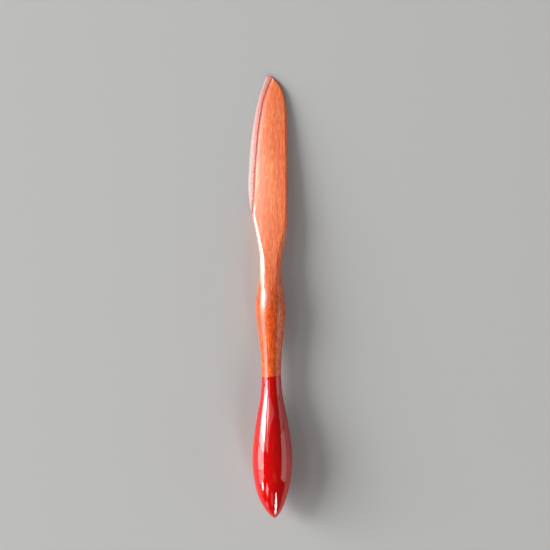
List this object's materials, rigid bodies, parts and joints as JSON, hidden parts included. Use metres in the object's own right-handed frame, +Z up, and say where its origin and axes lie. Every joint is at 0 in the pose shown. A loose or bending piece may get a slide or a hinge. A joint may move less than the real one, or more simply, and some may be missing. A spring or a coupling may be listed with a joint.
{
  "type": "ink knife",
  "caption": "Carved wooden ink or paper knife with a single raw bevel, a turned grip and a pointed bulb handle end in glossy red lacquer, lying on its flat back.",
  "frame": {"origin": "middle of the bounding box in X and Y, on the plane the knife rests on", "axes": "+Y along the knife towards its tip, -X towards the cutting edge, +Z up from the blade's flat back"},
  "size_m": [0.0188, 0.2, 0.0181],
  "materials": {
    "reddish_wood": "satin on the blade, clear gloss on the neck and grip, raw on the bevel",
    "red_lacquer": "deep gloss lacquer"
  },
  "bodies": {
    "root": {"wood_body": "reddish_wood", "red_lacquer_coat": "red_lacquer"}
  },
  "joints": []
}
